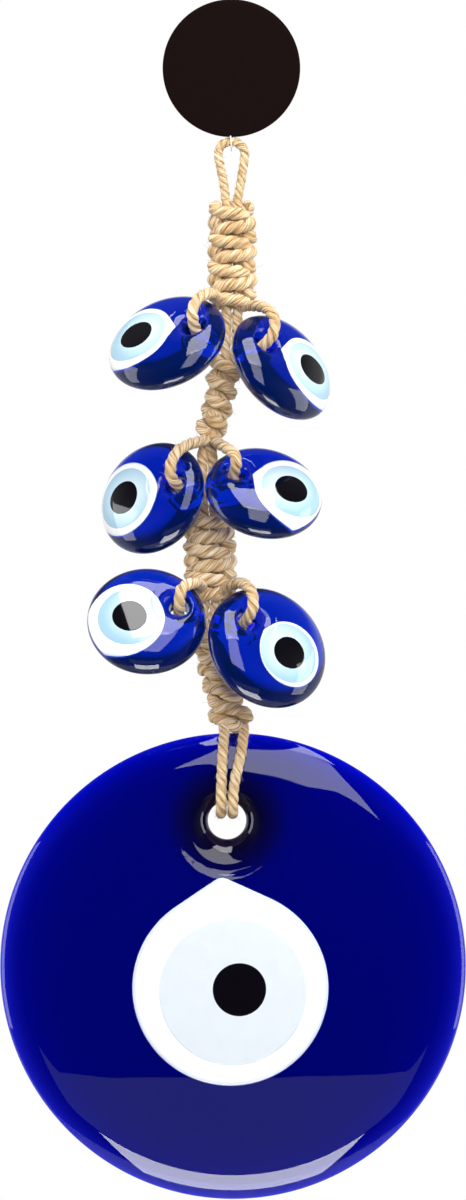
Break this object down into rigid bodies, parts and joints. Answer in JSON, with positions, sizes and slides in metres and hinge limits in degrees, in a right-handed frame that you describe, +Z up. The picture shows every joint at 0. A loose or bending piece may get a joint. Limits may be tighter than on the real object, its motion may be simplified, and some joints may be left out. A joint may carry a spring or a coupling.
{
  "type": "evil eye wall ornament",
  "caption": "Hanging wall ornament: knotted jute cord with pairs of small blue glass eye beads above one large round glass eye, with a round card tag.",
  "frame": {"origin": "the inside top of the hanging loop, where the nail or hook bears", "axes": "+Z up along the hanging line, -Y toward the viewer (the glass eyes face -Y), +X to the viewer's right"},
  "size_m": [0.1164, 0.0296, 0.2998],
  "materials": {
    "blue_glass": "deep cobalt glass, fire polished, glossy, violet where it is thin",
    "white_glass": "opaque white glass let into the blue, glossy",
    "pale_blue_glass": "opaque pale blue glass, glossy",
    "black_glass": "opaque black glass, glossy",
    "jute_cord": "pale natural jute cord of three twisted plies with stray fibres",
    "tag_card": "matt near-black printed card",
    "tag_thread": "thin pale cotton thread"
  },
  "bodies": {
    "hanger": {"hanging_loop": "jute_cord"},
    "tag": {"tag_back_card": "tag_card", "tag_front_card": "tag_card", "tag_thread": "tag_thread"},
    "braid_1": {"braid_1_core_cords": "jute_cord", "braid_1_square_knots": "jute_cord", "strand_upper_left": "jute_cord", "strand_upper_right": "jute_cord"},
    "bead_upper_left": {"bead_upper_left_glass": "blue_glass", "bead_upper_left_white": "white_glass", "bead_upper_left_iris": "pale_blue_glass", "bead_upper_left_pupil": "black_glass"},
    "bead_upper_right": {"bead_upper_right_glass": "blue_glass", "bead_upper_right_white": "white_glass", "bead_upper_right_iris": "pale_blue_glass", "bead_upper_right_pupil": "black_glass"},
    "braid_2": {"bare_core_1_cords": "jute_cord", "braid_2_core_cords": "jute_cord", "braid_2_half_knots": "jute_cord", "bare_core_2_cords": "jute_cord", "strand_middle_left": "jute_cord", "strand_middle_right": "jute_cord"},
    "bead_middle_left": {"bead_middle_left_glass": "blue_glass", "bead_middle_left_white": "white_glass", "bead_middle_left_iris": "pale_blue_glass", "bead_middle_left_pupil": "black_glass"},
    "bead_middle_right": {"bead_middle_right_glass": "blue_glass", "bead_middle_right_white": "white_glass", "bead_middle_right_iris": "pale_blue_glass", "bead_middle_right_pupil": "black_glass"},
    "braid_3": {"braid_3_core_cords": "jute_cord", "braid_3_square_knots": "jute_cord", "bare_core_3_cords": "jute_cord", "strand_lower_left": "jute_cord", "strand_lower_right": "jute_cord"},
    "bead_lower_left": {"bead_lower_left_glass": "blue_glass", "bead_lower_left_white": "white_glass", "bead_lower_left_iris": "pale_blue_glass", "bead_lower_left_pupil": "black_glass"},
    "bead_lower_right": {"bead_lower_right_glass": "blue_glass", "bead_lower_right_white": "white_glass", "bead_lower_right_iris": "pale_blue_glass", "bead_lower_right_pupil": "black_glass"},
    "braid_4": {"bare_core_4_cords": "jute_cord", "braid_4_core_cords": "jute_cord", "braid_4_half_knots": "jute_cord"},
    "eye_loop": {"eye_strand_left": "jute_cord", "eye_strand_right": "jute_cord"},
    "big_eye": {"big_eye_glass": "blue_glass", "big_eye_white_drop": "white_glass", "big_eye_iris": "pale_blue_glass", "big_eye_pupil": "black_glass"}
  },
  "joints": [
    {"name": "tag_tilt", "type": "hinge", "parent": "hanger", "child": "tag", "pos_m": [0, 0, 0.0012], "axis": [1, 0, 0], "range_deg": [0, 95]},
    {"name": "braid_1_swing", "type": "hinge", "parent": "hanger", "child": "braid_1", "pos_m": [0.0002, 0, -0.0135], "axis": [1, 0, 0], "range_deg": [-15, 15]},
    {"name": "bead_upper_left_swing", "type": "hinge", "parent": "braid_1", "child": "bead_upper_left", "pos_m": [-0.008, -0.0124, -0.0474], "axis": [-0.34, -0.66, 0.67], "range_deg": [-5, 20]},
    {"name": "bead_upper_right_swing", "type": "hinge", "parent": "braid_1", "child": "bead_upper_right", "pos_m": [0.0059, -0.0118, -0.0509], "axis": [0.6288, -0.5789, 0.519], "range_deg": [-20, 6]},
    {"name": "braid_2_flex", "type": "hinge", "parent": "braid_1", "child": "braid_2", "pos_m": [0, 0, -0.047], "axis": [0, 1, 0], "range_deg": [-7, 7]},
    {"name": "bead_middle_left_swing", "type": "hinge", "parent": "braid_2", "child": "bead_middle_left", "pos_m": [-0.0124, -0.007, -0.085], "axis": [-0.5101, -0.7901, 0.34], "range_deg": [-6, 14]},
    {"name": "bead_middle_right_swing", "type": "hinge", "parent": "braid_2", "child": "bead_middle_right", "pos_m": [0.0003, -0.009, -0.0833], "axis": [0.1898, -0.7091, 0.6791], "range_deg": [-12, 6]},
    {"name": "braid_3_flex", "type": "hinge", "parent": "braid_2", "child": "braid_3", "pos_m": [-0.0058, 0, -0.083], "axis": [0, 1, 0], "range_deg": [-7, 6]},
    {"name": "bead_lower_left_swing", "type": "hinge", "parent": "braid_3", "child": "bead_lower_left", "pos_m": [-0.0131, -0.0097, -0.1161], "axis": [0.0299, -0.8666, 0.4981], "range_deg": [-6, 12]},
    {"name": "bead_lower_right_swing", "type": "hinge", "parent": "braid_3", "child": "bead_lower_right", "pos_m": [0.0028, -0.0114, -0.1191], "axis": [0.4315, -0.8128, 0.3914], "range_deg": [-12, 6]},
    {"name": "braid_4_flex", "type": "hinge", "parent": "braid_3", "child": "braid_4", "pos_m": [-0.0059, 0, -0.1175], "axis": [0, 1, 0], "range_deg": [-7, 7]},
    {"name": "eye_loop_swing", "type": "hinge", "parent": "braid_4", "child": "eye_loop", "pos_m": [0.0002, 0, -0.1452], "axis": [1, 0, 0], "range_deg": [-10, 10]},
    {"name": "big_eye_swing", "type": "hinge", "parent": "eye_loop", "child": "big_eye", "pos_m": [-0.0011, 0, -0.168], "axis": [0, 1, 0], "range_deg": [-12, 12]}
  ]
}
